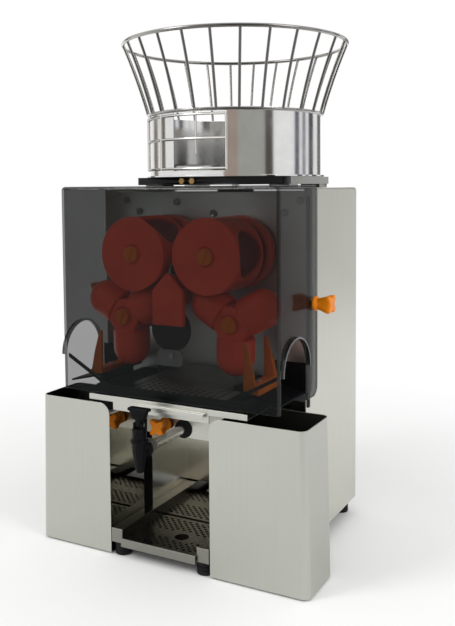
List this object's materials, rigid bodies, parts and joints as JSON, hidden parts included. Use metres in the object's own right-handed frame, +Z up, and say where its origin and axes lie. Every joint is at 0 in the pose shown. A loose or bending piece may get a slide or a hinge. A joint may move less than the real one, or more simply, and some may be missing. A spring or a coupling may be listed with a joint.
{
  "type": "automatic orange juicer",
  "caption": "Counter-top automatic orange juicer with a wire fruit basket, pressing drums behind a smoked cover, a juice tap, peel bins and a drip tray.",
  "frame": {"origin": "centre of the overall box, on the counter under the feet", "axes": "+X to the viewer's right, -Y is the front with the tap, +Z up"},
  "size_m": [0.466, 0.428, 0.799],
  "materials": {
    "brushed_stainless": "fine brushed",
    "polished_steel": "polished",
    "steel": "plain",
    "smoked_clear": "smoked, clear",
    "red_plastic": "gloss",
    "tan_plastic": "satin",
    "orange_plastic": "satin",
    "black_plastic": "satin",
    "strainer_steel": "perforated",
    "rubber": "matte",
    "bronze": "plain",
    "motor_paint": "satin"
  },
  "bodies": {
    "base": {"base_rails": "brushed_stainless", "bearing_plate": "steel", "body_shell": "brushed_stainless", "bushes": "bronze", "centre_guard": "black_plastic", "cover_studs": "steel", "edge_seals": "rubber", "feed_motor": "motor_paint", "feet": "rubber", "frame_plates": "steel", "gearbox": "motor_paint", "guard_bracket": "steel", "hopper_band": "polished_steel", "hopper_base": "polished_steel", "hopper_bolts": "bronze", "hopper_bracket": "black_plastic", "juice_tank": "brushed_stainless", "juice_tray": "black_plastic", "knife_blade": "steel", "knife_holder": "red_plastic", "mains_inlet": "black_plastic", "motor": "motor_paint", "peel_slides": "black_plastic", "peel_strippers": "orange_plastic", "power_switch": "black_plastic", "press_wall": "steel", "rear_cover": "brushed_stainless", "screws": "steel", "seal_rings": "rubber", "strainer": "strainer_steel", "tap_body": "black_plastic", "tap_pipe": "polished_steel", "tray_shelf": "brushed_stainless", "tunnel_liner": "brushed_stainless", "wire_basket": "polished_steel"},
    "upper_left": {"upper_left_drum": "red_plastic", "upper_left_shaft": "steel"},
    "upper_right": {"upper_right_drum": "red_plastic", "upper_right_shaft": "steel"},
    "lower_left": {"lower_left_drum": "red_plastic", "lower_left_shaft": "steel"},
    "lower_right": {"lower_right_drum": "red_plastic", "lower_right_shaft": "steel"},
    "upper_left_nut": {"upper_left_knob": "tan_plastic"},
    "upper_right_nut": {"upper_right_knob": "tan_plastic"},
    "lower_left_nut": {"lower_left_knob": "tan_plastic"},
    "lower_right_nut": {"lower_right_knob": "tan_plastic"},
    "drive": {"drive_pinion": "steel"},
    "feeder": {"feed_wheel": "polished_steel"},
    "cover": {"front_cover": "smoked_clear"},
    "cover_nut_left": {"cover_knob_left": "orange_plastic"},
    "cover_nut_right": {"cover_knob_right": "orange_plastic"},
    "tank_nut": {"tank_knob": "orange_plastic"},
    "tap_handle": {"tap_lever": "black_plastic"},
    "bin_left": {"left_bin": "brushed_stainless"},
    "bin_right": {"right_bin": "brushed_stainless"},
    "drip_tray": {"drip_pan": "brushed_stainless", "drip_plates": "brushed_stainless"},
    "gate": {"wire_gate": "polished_steel"},
    "switch_rocker": {"rocker": "black_plastic"}
  },
  "joints": [
    {"name": "upper_left_spin", "type": "hinge", "parent": "base", "child": "upper_left", "pos_m": [-0.064, -0.111, 0.466], "axis": [0, -1, 0], "continuous": true},
    {"name": "upper_right_spin", "type": "hinge", "parent": "base", "child": "upper_right", "pos_m": [0.064, -0.111, 0.466], "axis": [0, -1, 0], "continuous": true},
    {"name": "lower_left_spin", "type": "hinge", "parent": "base", "child": "lower_left", "pos_m": [-0.0935, -0.111, 0.36627], "axis": [0, -1, 0], "continuous": true},
    {"name": "lower_right_spin", "type": "hinge", "parent": "base", "child": "lower_right", "pos_m": [0.0935, -0.111, 0.36627], "axis": [0, -1, 0], "continuous": true},
    {"name": "drive_spin", "type": "hinge", "parent": "base", "child": "drive", "pos_m": [-0.07279, -0.007, 0.289], "axis": [0, -1, 0], "continuous": true},
    {"name": "feed_spin", "type": "hinge", "parent": "base", "child": "feeder", "pos_m": [0.022, 0.029, 0.597], "axis": [0, 0, 1], "continuous": true},
    {"name": "upper_left_knob_turn", "type": "hinge", "parent": "upper_left", "child": "upper_left_nut", "pos_m": [-0.064, -0.153, 0.466], "axis": [0, -1, 0], "range_deg": [0, 360]},
    {"name": "upper_right_knob_turn", "type": "hinge", "parent": "upper_right", "child": "upper_right_nut", "pos_m": [0.064, -0.153, 0.466], "axis": [0, -1, 0], "range_deg": [0, 360]},
    {"name": "lower_left_knob_turn", "type": "hinge", "parent": "lower_left", "child": "lower_left_nut", "pos_m": [-0.0935, -0.137, 0.36627], "axis": [0, -1, 0], "range_deg": [0, 360]},
    {"name": "lower_right_knob_turn", "type": "hinge", "parent": "lower_right", "child": "lower_right_nut", "pos_m": [0.0935, -0.137, 0.36627], "axis": [0, -1, 0], "range_deg": [0, 360]},
    {"name": "cover_knob_turn_left", "type": "hinge", "parent": "base", "child": "cover_nut_left", "pos_m": [-0.2, -0.04, 0.392], "axis": [-1, 0, 0], "range_deg": [0, 360]},
    {"name": "cover_knob_turn_right", "type": "hinge", "parent": "base", "child": "cover_nut_right", "pos_m": [0.2, -0.04, 0.392], "axis": [1, 0, 0], "range_deg": [0, 360]},
    {"name": "tank_knob_turn", "type": "hinge", "parent": "base", "child": "tank_nut", "pos_m": [-0.051, -0.091, 0.187], "axis": [0, -1, 0], "range_deg": [0, 360]},
    {"name": "cover_pull", "type": "slide", "parent": "base", "child": "cover", "axis": [0, -1, 0], "range_m": [0, 0.16]},
    {"name": "tap_lever_pull", "type": "hinge", "parent": "base", "child": "tap_handle", "pos_m": [-0.02, -0.201, 0.222], "axis": [1, 0, 0], "range_deg": [0, 35], "stiffness_Nm_per_rad": 0.05},
    {"name": "left_bin_pull", "type": "slide", "parent": "base", "child": "bin_left", "axis": [0, -1, 0], "range_m": [0, 0.13]},
    {"name": "right_bin_pull", "type": "slide", "parent": "base", "child": "bin_right", "axis": [0, -1, 0], "range_m": [0, 0.13]},
    {"name": "drip_tray_pull", "type": "slide", "parent": "base", "child": "drip_tray", "axis": [0, -1, 0], "range_m": [0, 0.2]},
    {"name": "gate_slide_round", "type": "hinge", "parent": "base", "child": "gate", "pos_m": [0.022, 0.029, 0.634], "axis": [0, 0, 1], "range_deg": [-50, 0]},
    {"name": "power_rocker", "type": "hinge", "parent": "base", "child": "switch_rocker", "pos_m": [0.04, 0.1672, 0.092], "axis": [1, 0, 0], "range_deg": [-9, 0]}
  ],
  "couplings": [
    {"joint": "upper_right_spin", "follows": "upper_left_spin", "ratio": -1},
    {"joint": "lower_left_spin", "follows": "upper_left_spin", "ratio": -1},
    {"joint": "lower_right_spin", "follows": "upper_left_spin", "ratio": 1},
    {"joint": "drive_spin", "follows": "upper_left_spin", "ratio": 1.8571}
  ]
}
